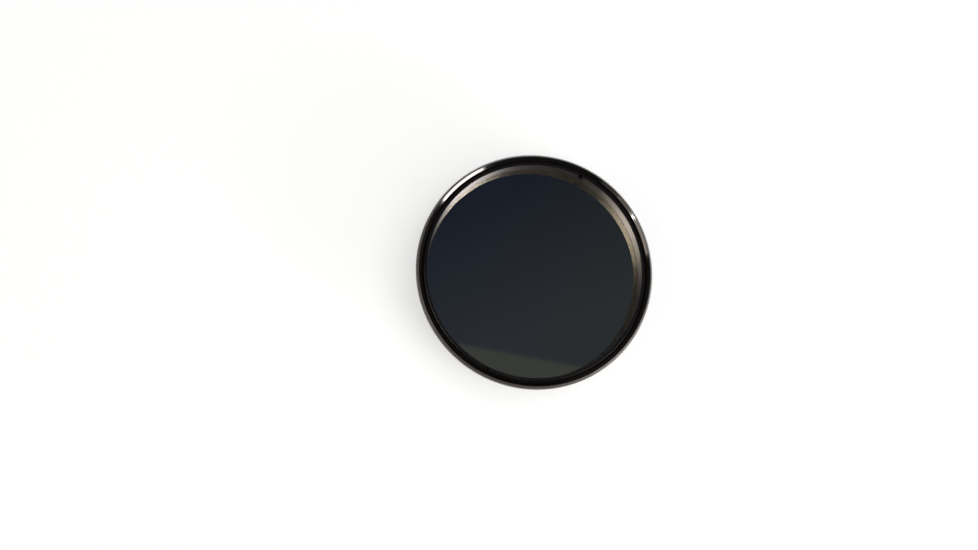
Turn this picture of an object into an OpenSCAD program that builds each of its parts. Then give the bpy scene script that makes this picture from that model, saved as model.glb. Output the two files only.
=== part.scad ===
// Threaded light filter for a telescope eyepiece.
// A glass disc lies on a ledge in a knurled round cell, and a slotted ring screws down on top of it.
// Lengths are in millimetres. The origin is the centre of the lower end face, and the light path is +Z.

/* [Threads] */
// Outer diameter of the filter thread, the same at the rear of the cell and inside its mouth
thread_d = 48; // [28:0.5:82]
// Pitch of the fine threads
thread_pitch = 0.75; // [0.5:0.05:0.8]
// Length of the rear thread, from its end face to the shoulder
rear_thread_h = 2.4; // [2:0.1:4]
// Lead chamfer at the end of the rear thread
rear_thread_lead = 0.3; // [0.1:0.05:0.4]
// Height of the relief groove between the rear thread and the shoulder
relief_h = 0.5; // [0.3:0.05:0.8]
// Depth of the relief groove
relief_depth = 0.55; // [0.45:0.01:0.65]
// Height of the clear run-in below the bevel, where the front thread begins
run_in_h = 0.6; // [0.2:0.05:1]

/* [Cell] */
// Thickness of the cell from the front thread out to the tips of the knurling
grip_wall = 1.2; // [1:0.05:2]
// Thickness of the cell from the front thread out to the plain band
neck_wall = 0.75; // [0.5:0.05:0.9]
// Thickness of the cell inside the rear thread
rear_wall = 1.1; // [0.9:0.05:1.3]
// Height of the knurled band, measured down from the rim
grip_h = 3; // [2.2:0.1:3.6]
// Width of the chamfer round the top of the knurled band
grip_bevel_w = 0.65; // [0.4:0.05:0.75]
// Height of the chamfer round the top of the knurled band
grip_bevel_h = 0.65; // [0.3:0.05:0.9]
// Height of the slope from the plain band out to the knurling
grip_foot_h = 0.5; // [0.2:0.05:0.8]
// Width of the flat land on the rim
rim_land = 0.05; // [0.02:0.01:0.15]
// Depth of the bevel inside the rim
rim_bevel_h = 0.5; // [0.2:0.05:0.8]
// Chamfer round the foot of the plain band
neck_foot = 0.3; // [0.1:0.05:0.4]
// Width of the ledge under the glass
ledge_w = 1.07; // [0.7:0.01:2]
// Thickness of the ledge
ledge_h = 1.1; // [0.8:0.1:1.8]
// Height of the ledge's upper face above the shoulder
ledge_rise = 0.7; // [0.5:0.1:1.5]

/* [Knurling] */
// Distance from one tooth to the next
tooth_pitch = 0.528; // [0.4:0.004:1.2]
// Depth of the teeth
tooth_depth = 0.22; // [0.1:0.01:0.28]

/* [Glass] */
// Thickness of the glass disc
glass_h = 2; // [1:0.1:3]
// Radial clearance between the glass disc and the cell
glass_gap = 0.12; // [0.05:0.01:0.2]
// Chamfer round both edges of the glass disc
glass_edge = 0.2; // [0.05:0.05:0.4]

/* [Slotted ring] */
// Thickness of the slotted ring's wall
ring_wall = 0.72; // [0.5:0.01:1.2]
// Height of the slotted ring
ring_h = 3.15; // [2.4:0.05:4]
// Depth of the slotted ring below the rim
ring_recess = 0.55; // [0.3:0.05:2]
// Radial clearance between the slotted ring and the cell
ring_gap = 0.05; // [0.02:0.01:0.1]
// Lead chamfer round the outer edges of the slotted ring
ring_lead = 0.12; // [0.05:0.01:0.3]
// Width of the two spanner slots
slot_w = 0.9; // [0.5:0.05:1.6]
// Depth of the two spanner slots
slot_h = 1.3; // [0.5:0.05:2]

/* [Hidden] */
$fn = 180;
// Depth of a fine thread as a share of its pitch
thread_share = 0.5413;
// Length by which a cutting shape reaches past a face
over = 1;
// The turned blank is this much wider than the tips, so that only its chamfers trim the teeth
blank_over = 0.1;

// Radii
thread_r = thread_d / 2;
bore_r = thread_r - thread_share * thread_pitch;
relief_r = thread_r - relief_depth;
rear_bore_r = thread_r - rear_wall;
neck_r = thread_r + neck_wall;
grip_r = thread_r + grip_wall;
root_r = grip_r - tooth_depth;
blank_r = grip_r + blank_over;
rim_r = grip_r - grip_bevel_w;
mouth_r = rim_r - rim_land;
glass_r = bore_r - glass_gap;
ledge_r = glass_r - ledge_w;
ring_r = bore_r - ring_gap;
ring_bore_r = ring_r - ring_wall;

// Heights above the lower end face
shoulder_z = rear_thread_h;
seat_z = shoulder_z + ledge_rise;
glass_top_z = seat_z + glass_h;
ring_top_z = glass_top_z + ring_h;
rim_z = ring_top_z + ring_recess;
grip_z = rim_z - grip_h;
bevel_z = rim_z - rim_bevel_h;
run_in_z = bevel_z - run_in_h;
blank_foot_z = grip_z + grip_foot_h * (blank_r - neck_r) / (grip_r - neck_r);
blank_bevel_z = rim_z - grip_bevel_h * (blank_r - rim_r) / grip_bevel_w;

// Number of teeth that fit round the band
teeth_n = round(2 * PI * grip_r / tooth_pitch);

// Half section of the turned cell, radius against height, counter-clockwise from the rear bore
function cell_section() = [
  [rear_bore_r, 0],
  [thread_r - rear_thread_lead, 0],
  [thread_r, rear_thread_lead],
  [thread_r, shoulder_z - relief_h],
  [relief_r, shoulder_z - relief_h],
  [relief_r, shoulder_z],
  [neck_r - neck_foot, shoulder_z],
  [neck_r, shoulder_z + neck_foot],
  [neck_r, grip_z],
  [blank_r, blank_foot_z],
  [blank_r, blank_bevel_z],
  [rim_r, rim_z],
  [mouth_r, rim_z],
  [thread_r, bevel_z],
  [thread_r, run_in_z],
  [bore_r, run_in_z],
  [bore_r, seat_z],
  [ledge_r, seat_z],
  [ledge_r, seat_z - ledge_h],
  [rear_bore_r, seat_z - ledge_h]
];

// Outline of the knurling: one tip and one root for each tooth
function tooth_outline() = [
  for (i = [0 : 2 * teeth_n - 1])
    let (a = 180 * (i + 0.5) / teeth_n, r = i % 2 == 0 ? grip_r : root_r)
      [r * cos(a), r * sin(a)]
];

// Half section of the glass disc
function glass_section() = [
  [0, seat_z],
  [glass_r - glass_edge, seat_z],
  [glass_r, seat_z + glass_edge],
  [glass_r, glass_top_z - glass_edge],
  [glass_r - glass_edge, glass_top_z],
  [0, glass_top_z]
];

// Half section of the slotted ring
function ring_section() = [
  [ring_bore_r, glass_top_z],
  [ring_r - ring_lead, glass_top_z],
  [ring_r, glass_top_z + ring_lead],
  [ring_r, ring_top_z - ring_lead],
  [ring_r - ring_lead, ring_top_z],
  [ring_bore_r, ring_top_z]
];

// Everything inside the tips and roots of the knurling, and all that lies below the band
module inside_knurling() {
  cylinder(r = blank_r + over, h = grip_z);
  translate([0, 0, grip_z])
    linear_extrude(grip_h + over)
      polygon(tooth_outline());
}

// Turned cell of black anodised aluminium with its knurled grip
module filter_cell() {
  color("#2b2725")
    intersection() {
      rotate_extrude() polygon(cell_section());
      inside_knurling();
    }
}

// Coated glass disc that passes one narrow band of light
module filter_glass() {
  color("#1c2029")
    rotate_extrude() polygon(glass_section());
}

// Threaded ring that holds the glass down, with two slots for a spanner
module retaining_ring() {
  color("#1a1818")
    difference() {
      rotate_extrude() polygon(ring_section());
      translate([-slot_w / 2, -ring_r - over, ring_top_z - slot_h])
        cube([slot_w, 2 * (ring_r + over), slot_h + over]);
    }
}

filter_cell();
filter_glass();
retaining_ring();
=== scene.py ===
"""Looks of a threaded light filter for a telescope eyepiece.

The filter is a coated glass disc in a knurled cell of black anodised aluminium. A slotted ring
screws down on the glass. The three pieces are made here with their machined detail, at the place
and size of the solids they stand for.

Lengths are written in millimetres and turned into metres when a mesh is made. The light path is
+Z, the lower end face lies on the table at height 0, and the two spanner slots are on +Y and -Y.
"""

import logging
import math
from collections.abc import Sequence
from dataclasses import dataclass, field
from enum import Enum

import bpy
from mathutils import Matrix, Vector


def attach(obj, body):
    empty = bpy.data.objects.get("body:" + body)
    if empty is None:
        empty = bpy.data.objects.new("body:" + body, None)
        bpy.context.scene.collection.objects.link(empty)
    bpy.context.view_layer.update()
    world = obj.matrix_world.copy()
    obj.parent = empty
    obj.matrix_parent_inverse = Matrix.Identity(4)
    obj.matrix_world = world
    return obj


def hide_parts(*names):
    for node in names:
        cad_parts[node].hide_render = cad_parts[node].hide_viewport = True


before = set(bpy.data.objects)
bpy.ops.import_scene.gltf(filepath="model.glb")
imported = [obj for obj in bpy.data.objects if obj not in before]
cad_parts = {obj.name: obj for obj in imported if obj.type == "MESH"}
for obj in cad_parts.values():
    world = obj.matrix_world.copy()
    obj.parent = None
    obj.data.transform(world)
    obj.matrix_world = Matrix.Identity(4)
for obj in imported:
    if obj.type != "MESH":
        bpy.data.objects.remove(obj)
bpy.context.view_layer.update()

LOG = logging.getLogger("filter")

# Depth of a metric outer thread as a share of its pitch.
THREAD_DEPTH_SHARE = 0.6134
# Largest share of an edge that a broken corner may take.
CORNER_SHARE = 0.4

Row = tuple[float, float]
Point = tuple[float, float, float]
Colour = tuple[float, float, float, float]


def mm(length: float) -> float:
    """Turn millimetres into metres."""
    return length * 0.001


def linear(hex_code: str) -> Colour:
    """Turn an sRGB hex colour into linear light.

    Args:
        hex_code: Colour such as "#1c2029".

    Returns:
        Red, green, blue and an alpha of 1.
    """
    channels = (int(hex_code[i : i + 2], 16) / 255 for i in (1, 3, 5))
    red, green, blue = (
        c / 12.92 if c <= 0.04045 else ((c + 0.055) / 1.055) ** 2.4 for c in channels
    )
    return red, green, blue, 1.0


def add_node(
    tree: bpy.types.NodeTree, kind: str, fed: dict | None = None, **settings: object
) -> bpy.types.Node:
    """Add a shader node, set its options, and link or fill its inputs.

    Args:
        tree: Node tree that takes the node.
        kind: Type of the node without its "ShaderNode" prefix.
        fed: Input name or index with the value or the output socket that goes in.
        settings: Options of the node itself.

    Returns:
        The new node.
    """
    node = tree.nodes.new("ShaderNode" + kind)
    for name, value in settings.items():
        setattr(node, name, value)
    for key, value in (fed or {}).items():
        if isinstance(value, bpy.types.NodeSocket):
            tree.links.new(value, node.inputs[key])
        else:
            node.inputs[key].default_value = value
    return node


class Role(Enum):
    """What a lamp is there for."""

    BOTH = "lights surfaces and is mirrored in them"
    SHADE = "lights surfaces and isn't mirrored"
    GLEAM = "is only mirrored in shiny surfaces"


@dataclass(frozen=True)
class BlackAnodising:
    """Aluminium, turned and then anodised and dyed black.

    The dyed oxide film is nearly black, a little brown where it catches light, and takes its
    gloss from the turned metal under it. Lengths are in millimetres. The roughness wavers by the
    grime on it. On knurling the roots are rougher than the tips by root_roughness.
    """

    name: str
    film: str = "#171412"
    worn: str = "#2b2523"
    gloss: str = "#fff6f2"
    roughness: float = 0.3
    groove_pitch: float = 0.16
    groove_depth: float = 0.002
    grime: float = 0.06
    index: float = 1.65
    shine: float = 0.5
    teeth: int = 0
    root_roughness: float = 0.25

    def material(self) -> bpy.types.Material:
        """Make the finish.

        Returns:
            A node material whose tool marks run round the Z axis.
        """
        material = bpy.data.materials.new(self.name)
        material.use_nodes = True
        tree = material.node_tree
        tree.nodes.clear()
        place = add_node(tree, "TexCoord").outputs["Object"]
        axes = add_node(tree, "SeparateXYZ", {0: place}).outputs
        radius = add_node(
            tree,
            "VectorMath",
            {0: add_node(tree, "CombineXYZ", {0: axes[0], 1: axes[1]}).outputs[0]},
            operation="LENGTH",
        ).outputs["Value"]
        turn = add_node(tree, "Math", {0: axes[1], 1: axes[0]}, operation="ARCTAN2").outputs[0]
        # Grooves of the turning tool: fast across the groove, slow round the axis.
        across = 1.0 / mm(self.groove_pitch)
        marks = add_node(
            tree,
            "CombineXYZ",
            {
                i: add_node(tree, "Math", {0: way, 1: times}, operation="MULTIPLY").outputs[0]
                for i, (way, times) in enumerate(((radius, across), (axes[2], across), (turn, 3.0)))
            },
        ).outputs[0]
        grooves = add_node(
            tree, "TexNoise", {"Vector": marks, "Scale": 1.0, "Detail": 3.0, "Roughness": 0.6}
        )
        # Handling marks a few millimetres across, and the mottling of the dye at 0.3 mm.
        smudge, mottle = (
            add_node(tree, "TexNoise", {"Vector": place, "Scale": 1.0 / mm(size), "Detail": detail})
            for size, detail in ((4.0, 4.0), (0.3, 3.0))
        )
        shade = add_node(
            tree,
            "Mix",
            {
                0: add_node(tree, "MapRange", {0: mottle.outputs[0], 1: 0.45, 2: 0.8}).outputs[0],
                6: linear(self.film),
                7: linear(self.worn),
            },
            data_type="RGBA",
        )
        least, most = self.roughness - self.grime, self.roughness + self.grime
        rough = add_node(
            tree, "MapRange", {0: smudge.outputs[0], 1: 0.3, 2: 0.7, 3: least, 4: most}
        )
        if self.teeth:
            # Handling polishes the tips of the knurling, and the roots stay rough. A tip stands
            # where the sine of the angle, taken once for each tooth, is 1.
            phase = add_node(tree, "Math", {0: turn, 1: float(self.teeth)}, operation="MULTIPLY")
            wave = add_node(tree, "Math", {0: phase.outputs[0]}, operation="SINE")
            spared = add_node(
                tree,
                "MapRange",
                {0: wave.outputs[0], 1: 0.3, 2: -0.6, 3: 0.0, 4: self.root_roughness},
            )
            rough = add_node(
                tree, "Math", {0: rough.outputs[0], 1: spared.outputs[0]}, operation="ADD"
            )
        deep = mm(self.groove_depth)
        relief = add_node(
            tree, "Bump", {"Height": grooves.outputs[0], "Strength": 0.5, "Distance": deep}
        )
        surface = add_node(
            tree,
            "BsdfPrincipled",
            {
                "Base Color": shade.outputs[2],
                "Roughness": rough.outputs[0],
                "IOR": self.index,
                "Specular IOR Level": self.shine,
                "Specular Tint": linear(self.gloss),
                "Normal": relief.outputs[0],
            },
        )
        add_node(tree, "OutputMaterial", {0: surface.outputs[0]})
        return material


@dataclass(frozen=True)
class InterferenceCoating:
    """Optical glass with a stack of hard interference layers.

    The stack sends back almost all light but one narrow blue-green line, so the disc mirrors the
    dark room with a faint straw-coloured cast. Dust adds to its roughness here and there.
    """

    name: str
    cast: str = "#fffaee"
    roughness: float = 0.015
    dust: float = 0.04

    def material(self) -> bpy.types.Material:
        """Make the finish.

        Returns:
            A node material for the flat faces of the disc.
        """
        material = bpy.data.materials.new(self.name)
        material.use_nodes = True
        tree = material.node_tree
        tree.nodes.clear()
        place = add_node(tree, "TexCoord").outputs["Object"]
        # Layers laid down a little unevenly over the disc, and fine dust on top.
        drift, dust = (
            add_node(tree, "TexNoise", {"Vector": place, "Scale": 1.0 / mm(size), "Detail": detail})
            for size, detail in ((18.0, 1.0), (0.35, 2.0))
        )
        red, green, blue, _ = linear(self.cast)
        tint = add_node(
            tree,
            "Mix",
            {
                0: drift.outputs[0],
                6: (red, green, blue, 1.0),
                7: (red * 0.94, green * 0.97, blue, 1.0),
            },
            data_type="RGBA",
        )
        dusty = self.roughness + self.dust
        haze = add_node(
            tree, "MapRange", {0: dust.outputs[0], 1: 0.55, 2: 0.8, 3: self.roughness, 4: dusty}
        )
        surface = add_node(
            tree,
            "BsdfPrincipled",
            {"Base Color": tint.outputs[2], "Roughness": haze.outputs[0], "Metallic": 1.0},
        )
        add_node(tree, "OutputMaterial", {0: surface.outputs[0]})
        return material


@dataclass(frozen=True)
class GroundGlass:
    """Edge of the disc, ground with fine grit, which makes it grey and matt."""

    name: str
    body: str = "#6f7676"

    def material(self) -> bpy.types.Material:
        """Make the finish.

        Returns:
            A node material for the edge of the disc.
        """
        material = bpy.data.materials.new(self.name)
        material.use_nodes = True
        tree = material.node_tree
        tree.nodes.clear()
        place = add_node(tree, "TexCoord").outputs["Object"]
        # Grit of about 0.05 mm, drawn at 0.2 mm so that it shows.
        grit = add_node(
            tree, "TexNoise", {"Vector": place, "Scale": 1.0 / mm(0.2), "Detail": 2.0}
        )
        relief = add_node(
            tree, "Bump", {"Height": grit.outputs[0], "Strength": 0.4, "Distance": mm(0.01)}
        )
        surface = add_node(
            tree,
            "BsdfPrincipled",
            {
                "Base Color": linear(self.body),
                "Roughness": 0.65,
                "IOR": 1.52,
                "Normal": relief.outputs[0],
            },
        )
        add_node(tree, "OutputMaterial", {0: surface.outputs[0]})
        return material


@dataclass(frozen=True)
class MattPaper:
    """Back-lit studio paper with a very faint tooth.

    Its glow keeps the shadow of the object pale.
    """

    name: str
    grey: str = "#adadad"
    glow: float = 0.635

    def material(self) -> bpy.types.Material:
        """Make the finish.

        Returns:
            A node material for the table.
        """
        material = bpy.data.materials.new(self.name)
        material.use_nodes = True
        tree = material.node_tree
        tree.nodes.clear()
        place = add_node(tree, "TexCoord").outputs["Object"]
        tooth = add_node(
            tree, "TexNoise", {"Vector": place, "Scale": 1.0 / mm(1.2), "Detail": 3.0}
        )
        relief = add_node(
            tree, "Bump", {"Height": tooth.outputs[0], "Strength": 0.2, "Distance": mm(0.02)}
        )
        surface = add_node(
            tree,
            "BsdfPrincipled",
            {
                "Base Color": linear(self.grey),
                "Roughness": 0.9,
                "Specular IOR Level": 0.1,
                "Normal": relief.outputs[0],
            },
        )
        # The glow is seen directly and in metal and glass, and lights nothing.
        path = add_node(tree, "LightPath").outputs
        shown = path["Is Camera Ray"]
        for ray in ("Is Glossy Ray", "Is Transmission Ray"):
            shown = add_node(tree, "Math", {0: shown, 1: path[ray]}, operation="MAXIMUM").outputs[0]
        level = add_node(tree, "Math", {0: shown, 1: self.glow}, operation="MULTIPLY").outputs[0]
        glow = add_node(tree, "Emission", {"Strength": level})
        both = add_node(tree, "AddShader", {0: surface.outputs[0], 1: glow.outputs[0]})
        add_node(tree, "OutputMaterial", {0: both.outputs[0]})
        return material


@dataclass
class Skin:
    """Points and faces of a mesh while it is built, in millimetres."""

    points: list[Point] = field(default_factory=list)
    faces: list[tuple[int, ...]] = field(default_factory=list)
    finish: list[int] = field(default_factory=list)

    def sheet(
        self,
        columns: Sequence[Sequence[Point]],
        finishes: Sequence[int],
        ring: bool = True,
        tube: bool = True,
    ) -> None:
        """Add a grid of faces between columns of points.

        Args:
            columns: Columns with the same number of points each, counter-clockwise seen from +Z.
            finishes: Number of the finish of each row of faces.
            ring: Join the last column to the first.
            tube: Join the last point of each column to its first.
        """
        start, tall = len(self.points), len(columns[0])
        for column in columns:
            self.points.extend(column)
        wide = len(columns)
        for c in range(wide if ring else wide - 1):
            here, there = start + c * tall, start + (c + 1) % wide * tall
            for r in range(tall if tube else tall - 1):
                up = (r + 1) % tall
                self.faces.append((here + r, there + r, there + up, here + up))
                self.finish.append(finishes[r])

    def piece(
        self, name: str, materials: Sequence[bpy.types.Material], sharp: float = 15.0
    ) -> bpy.types.Object:
        """Turn the points and faces into an object of the scene.

        Args:
            name: Name of the piece.
            materials: Its finishes, in the order of the numbers in finish.
            sharp: Angle in degrees above which an edge is shaded as a crease.

        Returns:
            The new object.
        """
        mesh = bpy.data.meshes.new(name)
        mesh.from_pydata([tuple(mm(v) for v in p) for p in self.points], [], self.faces)
        for material in materials:
            mesh.materials.append(material)
        mesh.polygons.foreach_set("material_index", self.finish)
        mesh.shade_smooth()
        mesh.set_sharp_from_angle(angle=math.radians(sharp))
        mesh.validate()
        made = bpy.data.objects.new(name, mesh)
        bpy.context.scene.collection.objects.link(made)
        return made


def eased(
    rows: Sequence[tuple[float, float, float, int]], closed: bool = True
) -> tuple[list[Row], list[int]]:
    """Break the corners of a half section, as a file or a tumbler does.

    Args:
        rows: Radius, height, width of the broken corner, and finish of the face that follows.
        closed: The last point joins the first.

    Returns:
        The points of the section, and the finish of the face that follows each point.
    """
    section: list[Row] = []
    finishes: list[int] = []
    for i, (radius, height, width, finish) in enumerate(rows):
        ends = not closed and i in (0, len(rows) - 1)
        if width <= 0 or ends:
            section.append((radius, height))
            finishes.append(finish)
            continue
        here = Vector((radius, height))
        before = Vector(rows[i - 1][:2]) - here
        after = Vector(rows[(i + 1) % len(rows)][:2]) - here
        for edge in (before, after):
            reach = min(width, edge.length * CORNER_SHARE)
            section.append(tuple(here + edge.normalized() * reach))
            finishes.append(finish)
    return section, finishes


def turned(section: Sequence[Row], segments: int) -> list[list[Point]]:
    """Turn a half section round the Z axis.

    Args:
        section: Radius and height of each point.
        segments: Number of columns round the axis.

    Returns:
        The columns of points.
    """
    return [
        [(r * math.cos(a), r * math.sin(a), z) for r, z in section]
        for a in (math.tau * i / segments for i in range(segments))
    ]


@dataclass
class FineThread:
    """Metric fine thread, cut as one right-handed helix."""

    outer: float
    pitch: float
    low: float
    high: float
    segments: int = 360

    @property
    def depth(self) -> float:
        """Depth of the thread on the radius."""
        return THREAD_DEPTH_SHARE * self.pitch

    def cut(self, skin: Skin, finish: int) -> None:
        """Add the flanks, crests and roots to a skin.

        Args:
            skin: Skin that takes the faces.
            finish: Number of their finish.
        """
        crest, root = self.outer, self.outer - self.depth
        # Share of the pitch and radius: a root, the lower flank, a crest and the upper flank.
        shape = [
            (0.0, root + 0.02),
            (0.06, root),
            (0.19, root),
            (0.25, root + 0.02),
            (0.53, crest - 0.01),
            (0.56, crest),
            (0.69, crest),
            (0.72, crest - 0.01),
            (1.0, root + 0.02),
        ]
        turns = math.ceil((self.high - self.low) / self.pitch) + 1
        columns = []
        for i in range(turns * self.segments + 1):
            turn = i / self.segments
            a = math.tau * turn
            column = []
            for share, radius in shape:
                z = self.low + (turn - 1 + share) * self.pitch
                z = min(max(z, self.low), self.high)
                # A cone at each end lets the helix rise and run out without a step.
                radius = min(radius, root + z - self.low, root + (self.high - z) * 2)
                column.append((radius * math.cos(a), radius * math.sin(a), z))
            columns.append(column)
        skin.sheet(columns, [finish] * (len(shape) - 1), ring=False, tube=False)


@dataclass
class FilterCell:
    """Knurled cell that carries the glass, with the rear thread and the ledge."""

    thread: float = 24.0
    thread_pitch: float = 0.75
    thread_high: float = 2.4
    thread_start: float = 0.06
    relief_high: float = 0.5
    relief: float = 23.45
    rear_bore: float = 22.9
    neck: float = 24.75
    neck_foot: float = 0.3
    tips: float = 25.2
    tooth_depth: float = 0.4
    teeth: int = 300
    grip_low: float = 5.8
    grip_foot: float = 0.5
    rim_high: float = 8.8
    rim: float = 24.55
    chamfer_high: float = 0.65
    mouth: float = 24.5
    bevel_high: float = 0.5
    run_in_high: float = 0.6
    bore: float = 23.594
    ledge: float = 22.404
    seat: float = 3.1
    ledge_thick: float = 1.1

    def body(self, *finished: bpy.types.Material) -> bpy.types.Object:
        """Build all of the cell but its knurled band.

        Args:
            finished: Finishes of the turned surfaces, of the bevel inside the rim, and of the mouth
                and the bore, whose near-black film is painted shade.

        Returns:
            The piece.
        """
        top_of_bore = self.rim_high - self.bevel_high - self.run_in_high
        thread_top = self.thread_high - self.relief_high
        # The section runs just under the roots of the thread, which is a helix of its own.
        under = self.thread - THREAD_DEPTH_SHARE * self.thread_pitch - 0.01
        rows = [
            (self.rim, self.rim_high, 0.0, 1),
            (self.mouth, self.rim_high, 0.02, 1),
            # The mouth, its step and the bore down to the seat take the third finish, whose
            # near-black film is painted shade for the thread that isn't cut.
            (self.thread, self.rim_high - self.bevel_high, 0.02, 2),
            (self.thread, top_of_bore, 0.0, 2),
            (self.bore, top_of_bore, 0.0, 2),
            (self.bore, self.seat, 0.0, 0),
            (self.ledge, self.seat, 0.04, 0),
            (self.ledge, self.seat - self.ledge_thick, 0.06, 0),
            (self.rear_bore, self.seat - self.ledge_thick, 0.04, 0),
            (self.rear_bore, 0.0, 0.08, 0),
            (under, 0.0, 0.03, 0),
            (under, thread_top, 0.0, 0),
            (self.relief, thread_top, 0.0, 0),
            (self.relief, self.thread_high, 0.03, 0),
            (self.neck - self.neck_foot, self.thread_high, 0.04, 0),
            (self.neck, self.thread_high + self.neck_foot, 0.04, 0),
            (self.neck, self.grip_low, 0.0, 0),
        ]
        section, finishes = eased(rows, closed=False)
        skin = Skin()
        skin.sheet(turned(section, 720), finishes, tube=False)
        thread = FineThread(self.thread, self.thread_pitch, self.thread_start, thread_top)
        thread.cut(skin, 0)
        return skin.piece("cell_body", finished)

    def grip(self, knurled: bpy.types.Material) -> bpy.types.Object:
        """Build the knurled band, with teeth that run out in its two chamfers.

        Args:
            knurled: Finish of the band.

        Returns:
            The piece.
        """
        root = self.tips - self.tooth_depth
        # Flat tip and flat root of each tooth, as shares of the pitch.
        shape = [(-0.07, self.tips), (0.07, self.tips), (0.45, root), (0.55, root)]
        slope_top = self.chamfer_high / (self.tips - self.rim)
        slope_foot = self.grip_foot / (self.tips - self.neck)
        columns = []
        for tooth in range(self.teeth):
            for share, radius in shape:
                # The first tip stands a quarter of a tooth away from +X, as in the solid.
                a = math.tau * (tooth + 0.25 + share) / self.teeth
                top = self.rim_high - (radius - self.rim) * slope_top
                foot = self.grip_low + (radius - self.neck) * slope_foot
                section = [
                    (self.neck, self.grip_low),
                    (radius, foot),
                    (radius, top),
                    (self.rim, self.rim_high),
                ]
                columns.append([(r * math.cos(a), r * math.sin(a), z) for r, z in section])
        skin = Skin()
        skin.sheet(columns, [0] * 3, tube=False)
        return skin.piece("cell_grip", (knurled,))

    def make(self) -> list[bpy.types.Object]:
        """Build and dress the cell.

        Returns:
            Its pieces.
        """
        # The plain band and the rear give a soft dark grey sheen.
        satin = BlackAnodising(
            "black_anodised_aluminium_turned", film="#0d0b0a", worn="#191615", roughness=0.3
        ).material()
        # The bevel inside the rim was cut last and finely: it mirrors the lamps as sharp arcs.
        bright = BlackAnodising(
            "black_anodised_aluminium_fine_turned",
            film="#080706",
            worn="#100e0d",
            roughness=0.1,
            grime=0.02,
            groove_depth=0.0008,
        ).material()
        # The knurling is paler and browner, and catches light along the tips of its teeth.
        knurled = BlackAnodising(
            "black_anodised_aluminium_knurled",
            film="#2b2521",
            worn="#4a423c",
            roughness=0.34,
            index=1.76,
            teeth=self.teeth,
        ).material()
        # The mouth below the bevel is threaded in the real one but plain here: its near-black film
        # and weak sheen are painted shade for the light lost between the crests.
        mouth_painted_shade = BlackAnodising(
            "black_anodised_aluminium_painted_thread_shade",
            film="#060505",
            worn="#0b0a0a",
            roughness=0.45,
            shine=0.3,
        ).material()
        # The third finish, on the mouth and the bore, is painted shade.
        pieces = [self.body(satin, bright, mouth_painted_shade), self.grip(knurled)]
        for piece in pieces:
            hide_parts("filter_cell")
        return pieces


@dataclass
class FilterGlass:
    """Coated disc on the ledge of the cell."""

    radius: float = 23.474
    low: float = 3.1
    high: float = 5.1
    edge: float = 0.2

    def make(self) -> list[bpy.types.Object]:
        """Build and dress the disc.

        Returns:
            Its one piece.
        """
        coated = InterferenceCoating("interference_coated_glass").material()
        ground = GroundGlass("ground_glass_edge").material()
        rows = [
            (0.0, self.low, 0.0, 0),
            (self.radius - self.edge, self.low, 0.0, 1),
            (self.radius, self.low + self.edge, 0.02, 1),
            (self.radius, self.high - self.edge, 0.02, 1),
            (self.radius - self.edge, self.high, 0.0, 0),
            (0.0, self.high, 0.0, 0),
        ]
        section, finishes = eased(rows, closed=False)
        skin = Skin()
        skin.sheet(turned(section, 360), finishes, tube=False)
        piece = skin.piece("filter_disc", (coated, ground))
        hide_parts("filter_glass")
        return [piece]


@dataclass
class RetainingRing:
    """Threaded ring that holds the glass down, with two slots for a spanner."""

    outer: float = 23.544
    inner: float = 22.824
    low: float = 5.1
    high: float = 8.25
    lead: float = 0.12
    slot_width: float = 0.9
    slot_deep: float = 1.3
    groove_pitch: float = 0.25
    groove_deep: float = 0.149
    groove_margin: float = 0.2
    segments: int = 360

    def make(self) -> list[bpy.types.Object]:
        """Build and dress the ring.

        Returns:
            Its one piece.
        """
        # The end faces give a bluish black without a highlight.
        face = BlackAnodising(
            "black_anodised_aluminium_faced", film="#0c0b0e", worn="#17151a", roughness=0.3
        ).material()
        # The grooved bore gives the broad straw-grey gleams round the glass.
        wall = BlackAnodising(
            "black_anodised_aluminium_bored",
            film="#171412",
            worn="#26201d",
            roughness=0.32,
            index=1.76,
            shine=1.0,
        ).material()
        rows = [
            (self.inner, self.low, 0.03, 0),
            (self.outer - self.lead, self.low, 0.02, 0),
            (self.outer, self.low + self.lead, 0.0, 0),
            (self.outer, self.high - self.lead, 0.0, 0),
            (self.outer - self.lead, self.high, 0.02, 0),
            (self.inner, self.high, 0.03, 1),
        ]
        section, finishes = eased(rows)
        section += self.grooves()
        finishes += [1] * (len(section) - len(finishes))
        floor = self.high - self.slot_deep
        columns = self.columns(section, floor)
        skin = Skin()
        skin.sheet(columns, finishes)
        piece = skin.piece("slotted_ring", (face, wall))
        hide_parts("retaining_ring")
        return [piece]

    def grooves(self) -> list[Row]:
        """Cut fine V grooves down the bore, which keep stray light out of the glass.

        Returns:
            Radius and height of the points from the top of the bore to its foot.
        """
        top = self.high - self.groove_margin
        tall = top - self.low - self.groove_margin
        flanks = 2 * round(tall / self.groove_pitch)
        return [
            (self.inner + self.groove_deep * (i % 2), top - tall * i / flanks)
            for i in range(flanks + 1)
        ]

    def columns(self, section: Sequence[Row], floor: float) -> list[list[Point]]:
        """Place the section round the ring and lower it across the two slots.

        Args:
            section: Half section of the ring.
            floor: Height of the floor of the slots.

        Returns:
            The columns of points.
        """
        half = self.slot_width / 2
        # The round part ends 2 % short of the slot, so that no two columns cross.
        gap = math.asin(half / self.inner) * 1.02
        step = math.tau / self.segments
        columns: list[list[Point]] = []
        for side in (1, -1):
            # Round one half, from just after one slot to just before the other.
            start = -side * math.pi / 2 + gap
            count = round((math.pi - 2 * gap) / step)
            for i in range(count + 1):
                a = start + (math.pi - 2 * gap) * i / count
                columns.append([(r * math.cos(a), r * math.sin(a), z) for r, z in section])
            # Down one wall of the slot, across its floor and up the other wall.
            across = [(True, place) for place in (1.0, 0.33, -0.33, -1.0)]
            for cut, place in ((False, 1.0), *across, (False, -1.0)):
                column = []
                for r, z in section:
                    x = side * half * place
                    y = side * math.sqrt(r * r - x * x)
                    column.append((x, y, min(z, floor) if cut else z))
                columns.append(column)
        return columns


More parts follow.
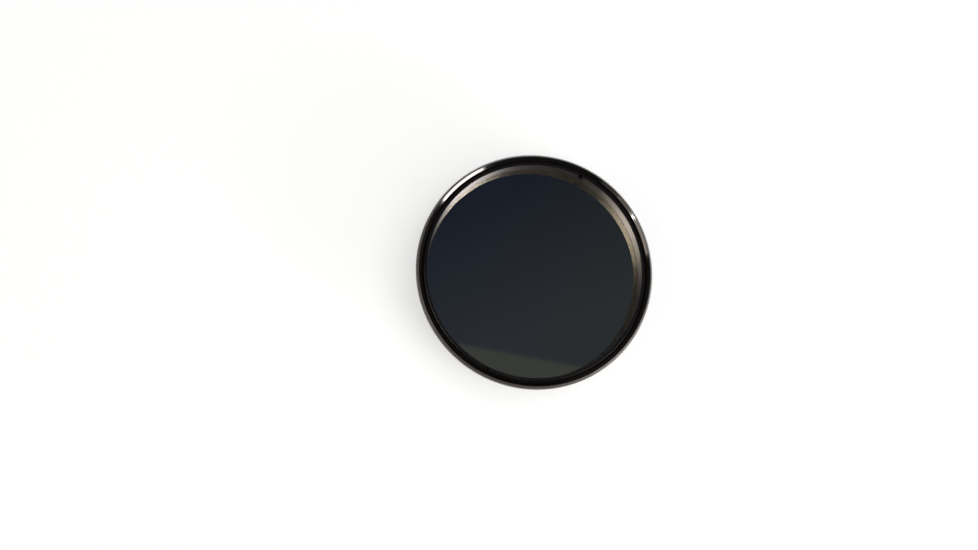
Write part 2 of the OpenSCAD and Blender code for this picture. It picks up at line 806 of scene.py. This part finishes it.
@dataclass(frozen=True)
class Lamp:
    """Soft box that faces the object.

    Its direction is the angle that it has in the picture, clockwise from the right, and its height
    above the table, both in degrees. Its width and height and its distance are in metres. A
    radiance of 1 is white.
    """

    name: str
    angle: float
    height: float
    size: tuple[float, float]
    radiance: float
    colour: str
    role: Role = Role.BOTH
    away: float = 1.2

    def hang(self, towards: Vector) -> None:
        """Add the lamp to the scene.

        Args:
            towards: Unit vector from the object to the lamp.
        """
        data = bpy.data.lights.new(self.name, "AREA")
        data.shape = "RECTANGLE"
        data.size, data.size_y = self.size
        data.energy = self.radiance * math.pi * self.size[0] * self.size[1]
        data.color = linear(self.colour)[:3]
        made = bpy.data.objects.new(self.name, data)
        bpy.context.scene.collection.objects.link(made)
        made.location = towards * self.away
        made.rotation_euler = towards.to_track_quat("Z", "Y").to_euler()
        made.visible_glossy = self.role is not Role.SHADE
        made.visible_diffuse = self.role is not Role.GLEAM


@dataclass(frozen=True)
class Room:
    """Dark room round the table, which the glass and the metal mirror.

    Its tones are in linear light. Overhead it is darker and bluer toward the top left of the
    picture, and a paler part of the ceiling ends in a straight edge.
    """

    overhead_dark: Colour = (0.0104, 0.0138, 0.0240, 1.0)
    overhead_pale: Colour = (0.0240, 0.0290, 0.0385, 1.0)
    cast_right: Colour = (0.97, 0.95, 0.82, 1.0)
    horizon: Colour = (0.10, 0.10, 0.095, 1.0)
    pale_ceiling: Colour = (0.0415, 0.0455, 0.0435, 1.0)
    backdrop: str = "#f7f7f6"

    def make(self, down: Vector, right: Vector) -> None:
        """Set the world.

        Args:
            down: Unit vector toward the bottom of the picture, along the table.
            right: Unit vector toward the right of the picture, along the table.
        """
        world = bpy.data.worlds.new("room")
        bpy.context.scene.world = world
        world.use_nodes = True
        tree = world.node_tree
        tree.nodes.clear()
        towards = add_node(tree, "TexCoord").outputs["Generated"]
        height = add_node(tree, "SeparateXYZ", {0: towards}).outputs[2]
        # How far a direction points along each of these is what the tones change with.
        ways = (down + 0.45 * right, right, down - 0.168 * right + Vector((0, 0, 0.1006)))
        along = (
            add_node(tree, "VectorMath", {0: towards, 1: tuple(way)}, operation="DOT_PRODUCT")
            for way in ways
        )
        drift, sideways, past_edge = (node.outputs["Value"] for node in along)
        above = add_node(
            tree,
            "Mix",
            {
                0: add_node(tree, "MapRange", {0: drift, 1: -0.24, 2: -0.03}).outputs[0],
                6: self.overhead_dark,
                7: self.overhead_pale,
            },
            data_type="RGBA",
        ).outputs[2]
        warmer = add_node(
            tree,
            "Mix",
            {0: 1.0, 6: above, 7: self.cast_right},
            data_type="RGBA",
            blend_type="MULTIPLY",
        ).outputs[2]
        toned = add_node(
            tree,
            "Mix",
            {
                0: add_node(tree, "MapRange", {0: sideways, 1: 0.08, 2: 0.26}).outputs[0],
                6: above,
                7: warmer,
            },
            data_type="RGBA",
        ).outputs[2]
        rise = add_node(
            tree, "MapRange", {0: height, 1: 0.1, 2: 0.8}, interpolation_type="SMOOTHSTEP"
        ).outputs[0]
        walls = add_node(
            tree, "Mix", {0: rise, 6: self.horizon, 7: toned}, data_type="RGBA"
        ).outputs[2]
        ceiling = add_node(
            tree,
            "Mix",
            {
                0: add_node(tree, "MapRange", {0: past_edge, 1: -0.002, 2: 0.003}).outputs[0],
                6: walls,
                7: self.pale_ceiling,
            },
            data_type="RGBA",
        ).outputs[2]
        # The camera itself sees a pale backdrop.
        direct = add_node(tree, "LightPath").outputs["Is Camera Ray"]
        seen = add_node(
            tree, "Mix", {0: direct, 6: ceiling, 7: linear(self.backdrop)}, data_type="RGBA"
        ).outputs[2]
        glow = add_node(tree, "Background", {0: seen, 1: 1.0})
        add_node(tree, "OutputWorld", {0: glow.outputs[0]})


@dataclass
class Studio:
    """Table, lamps, surroundings and camera.

    Directions are given by the angle that they have in the picture, clockwise from the right, in
    degrees. The camera's place comes from the rim of the object in the picture: camera_angle and
    camera_tilt say which way and how far it leans from upright, camera_away is its distance from
    the centre of the rim, which is at object_x and object_y in the picture, and focus is its focal
    length in pixels.
    """

    rim_high: float = 8.8
    slot_angle: float = 295.5
    camera_angle: float = 128.0
    camera_tilt: float = 13.9
    camera_away: float = 161.4
    focus: float = 767.0
    object_x: float = 536.2
    object_y: float = 268.4
    wide: int = 978
    tall: int = 550
    sensor: float = 36.0
    paper_radii: tuple[float, ...] = (60.0, 400.0, 1500.0)
    paper_sides: int = 96
    paper_gap: float = 0.01
    lamps: tuple[Lamp, ...] = (
        # Window low on the right: the bright arc on the bevel and on the wall at the upper left.
        Lamp("key_low", 35.0, 11.5, (0.58, 0.19), 22.0, "#fffefd"),
        # Its dimmer upper part, which lights the paper and draws the shadow on the left.
        Lamp("key_high", 36.0, 35.0, (0.66, 0.6), 3.2, "#fffdfb"),
        # Warm, weaker light from the left: the arcs on the right.
        Lamp("fill", 161.0, 35.0, (0.86, 1.05), 1.5, "#fff8e8"),
        Lamp("fill_gleam", 162.0, 42.0, (0.42, 0.75), 2.7, "#fff8e8", Role.GLEAM),
        Lamp("fill_low", 168.0, 19.5, (0.5, 0.15), 1.9, "#fff6ee", Role.GLEAM),
        Lamp("fill_left", 134.0, 22.0, (0.3, 0.12), 0.5, "#fff6ee", Role.GLEAM),
        # Small bare bulb: the hard sparkle on the bevel.
        Lamp("glint", 156.0, 20.0, (0.045, 0.045), 100.0, "#ffffff", Role.GLEAM),
        # Wide light from above, which keeps the shadow pale.
        Lamp("overhead", 350.0, 66.0, (1.1, 1.1), 2.7, "#ffffff", Role.SHADE),
    )

    def world_angle(self, picture_angle: float) -> float:
        """Turn an angle in the picture, in degrees, into one round +Z, in radians."""
        return math.radians(90.0 + self.slot_angle - 360.0 - picture_angle)

    def direction(self, picture_angle: float, height: float) -> Vector:
        """Give the unit vector of a direction.

        Args:
            picture_angle: Angle in the picture, in degrees.
            height: Angle above the table, in degrees.

        Returns:
            The direction in the frame of the object.
        """
        a, e = self.world_angle(picture_angle), math.radians(height)
        return Vector((math.cos(a) * math.cos(e), math.sin(a) * math.cos(e), math.sin(e)))

    def camera(self) -> None:
        """Place the camera where the picture was taken from."""
        data = bpy.data.cameras.new("camera")
        data.sensor_width = self.sensor
        data.lens = self.sensor * self.focus / self.wide
        data.clip_start, data.clip_end = 0.005, 20.0
        made = bpy.data.objects.new("camera", data)
        bpy.context.scene.collection.objects.link(made)
        back = self.direction(self.camera_angle, 90.0 - self.camera_tilt)
        upward = self.direction(270.0, 0.0)
        right = upward.cross(back).normalized()
        up = back.cross(right)
        # The object stands a little right of the middle of the picture.
        aside = (self.object_x - self.wide / 2) / self.focus
        above = (self.tall / 2 - self.object_y) / self.focus
        sight = Vector((aside, above, -1.0))
        turn = Vector((0, 0, -1)).rotation_difference(sight).to_matrix()
        made.matrix_world = (turn @ Matrix((right, up, back))).transposed().to_4x4()
        made.location = Vector((0, 0, mm(self.rim_high))) + back * mm(self.camera_away)
        bpy.context.scene.camera = made

    def table(self) -> None:
        """Lay the white paper under the object."""
        skin = Skin()
        # It lies a hair below the end face, so that the two never share a plane.
        section = [(radius, -self.paper_gap) for radius in self.paper_radii]
        rows = len(section)
        skin.sheet(turned(section, self.paper_sides), [0] * (rows - 1), tube=False)
        skin.faces.append(tuple(reversed([i * rows for i in range(self.paper_sides)])))
        skin.finish.append(0)
        paper = skin.piece("paper", (MattPaper("matt_white_paper").material(),))
        paper.data.flip_normals()

    def make(self) -> None:
        """Set up everything that isn't part of the object."""
        self.table()
        Room().make(self.direction(90.0, 0.0), self.direction(0.0, 0.0))
        for lamp in self.lamps:
            lamp.hang(self.direction(lamp.angle, lamp.height))
        self.camera()
        bpy.context.scene.view_settings.view_transform = "Standard"


def main() -> None:
    """Build the filter and its studio."""
    logging.basicConfig(level=logging.INFO, format="%(name)s: %(message)s")
    for part in (FilterCell(), FilterGlass(), RetainingRing()):
        for piece in part.make():
            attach(piece, "root")
            LOG.info("%s: %d faces", piece.name, len(piece.data.polygons))
    Studio().make()


if __name__ == "__main__":
    main()
